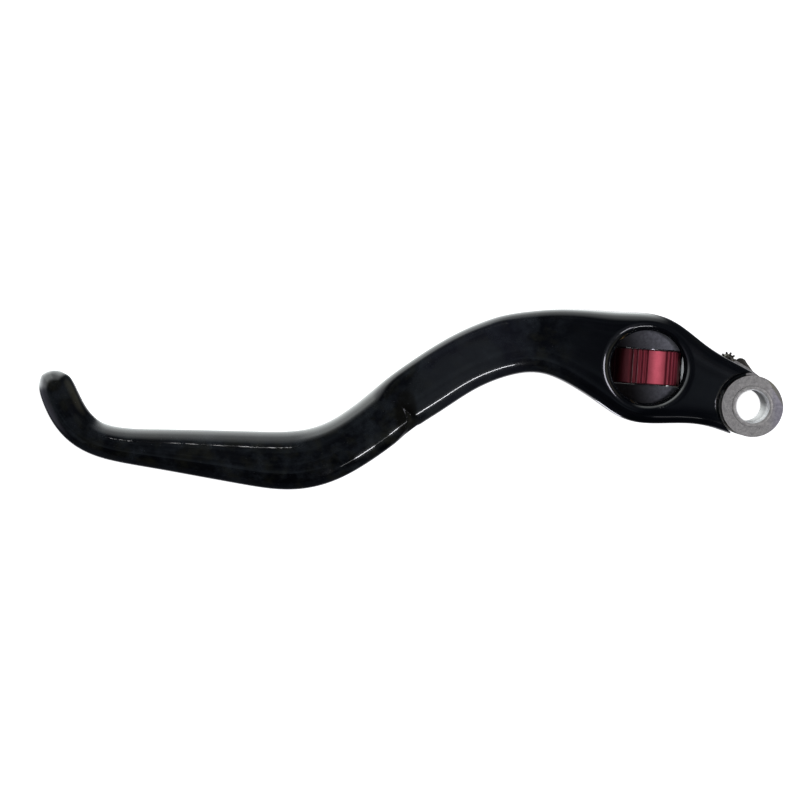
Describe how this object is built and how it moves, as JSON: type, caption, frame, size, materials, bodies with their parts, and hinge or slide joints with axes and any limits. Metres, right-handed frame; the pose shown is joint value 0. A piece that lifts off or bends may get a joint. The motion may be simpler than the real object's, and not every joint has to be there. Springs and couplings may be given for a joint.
{
  "type": "motorcycle clutch lever",
  "caption": "Long curved clutch lever with a pivot eye, a red thumb wheel in a round window for reach adjustment, and a switch cam at the pivot.",
  "frame": {"origin": "centre of the whole lever's bounding box at rest; the pivot axis passes through x 84.87 mm, y -1.63 mm", "axes": "+Z along the pivot axis, blade towards -X, handlebar on the -Y side; squeezing the lever is a positive turn about +Z"},
  "size_m": [0.185, 0.0454, 0.0174],
  "materials": {
    "blade_black": "high gloss black",
    "knuckle_grey": "hard anodised, satin, machined",
    "wheel_red": "red anodised, machined",
    "sleeve_steel": "turned",
    "bright_steel": "ground",
    "spring_steel": "drawn wire",
    "black_steel": "black oxide",
    "bronze": "machined",
    "black_polymer": "matt"
  },
  "bodies": {
    "pivot": {"pivot_sleeve": "sleeve_steel"},
    "knuckle": {"adjuster_carrier": "knuckle_grey", "thrust_washer_upper": "black_polymer", "thrust_washer_lower": "black_polymer", "wheel_thrust_washer": "bright_steel", "stud_key_pin": "bright_steel", "detent_spring": "spring_steel", "detent_grub_screw": "black_steel", "return_spring": "spring_steel", "switch_cam_plate": "black_steel", "tooth_lock_washer": "black_steel", "cam_plate_screw": "black_steel"},
    "blade": {"lever_blade": "blade_black", "blade_eye_bush": "bronze", "stud_contact_pad": "bright_steel", "return_spring_seat": "bright_steel"},
    "wheel": {"adjuster_wheel": "wheel_red"},
    "stud": {"adjuster_stud": "bright_steel"},
    "click_ball": {"detent_ball": "bright_steel"},
    "barrel": {"pushrod_barrel": "bronze"}
  },
  "joints": [
    {"name": "lever_pull", "type": "hinge", "parent": "pivot", "child": "knuckle", "pos_m": [0.08487, -0.00163, 0], "axis": [0, 0, 1], "range_deg": [0, 20]},
    {"name": "reach_adjust", "type": "hinge", "parent": "knuckle", "child": "blade", "pos_m": [0.08487, -0.00163, 0], "axis": [0, 0, 1], "range_deg": [-2.16, 2.16], "deforming": ["return_spring"]},
    {"name": "wheel_spin", "type": "hinge", "parent": "knuckle", "child": "wheel", "pos_m": [0.05897, 0.00812, 0], "axis": [0.0698, 0.9976, 0], "range_deg": [-121, 121]},
    {"name": "stud_slide", "type": "slide", "parent": "knuckle", "child": "stud", "axis": [0.0698, 0.9976, 0], "range_m": [-0.00102, 0.00102]},
    {"name": "detent_click", "type": "slide", "parent": "knuckle", "child": "click_ball", "axis": [0.0698, 0.9976, 0], "range_m": [0, 0.0004], "deforming": ["detent_spring"]},
    {"name": "barrel_turn", "type": "hinge", "parent": "knuckle", "child": "barrel", "pos_m": [0.06892, -0.00123, 0], "axis": [0, 0, 1], "range_deg": [-12, 12]}
  ],
  "couplings": [
    {"joint": "wheel_spin", "follows": "reach_adjust", "ratio": 55.537},
    {"joint": "stud_slide", "follows": "reach_adjust", "m_per_rad": -0.026517}
  ]
}
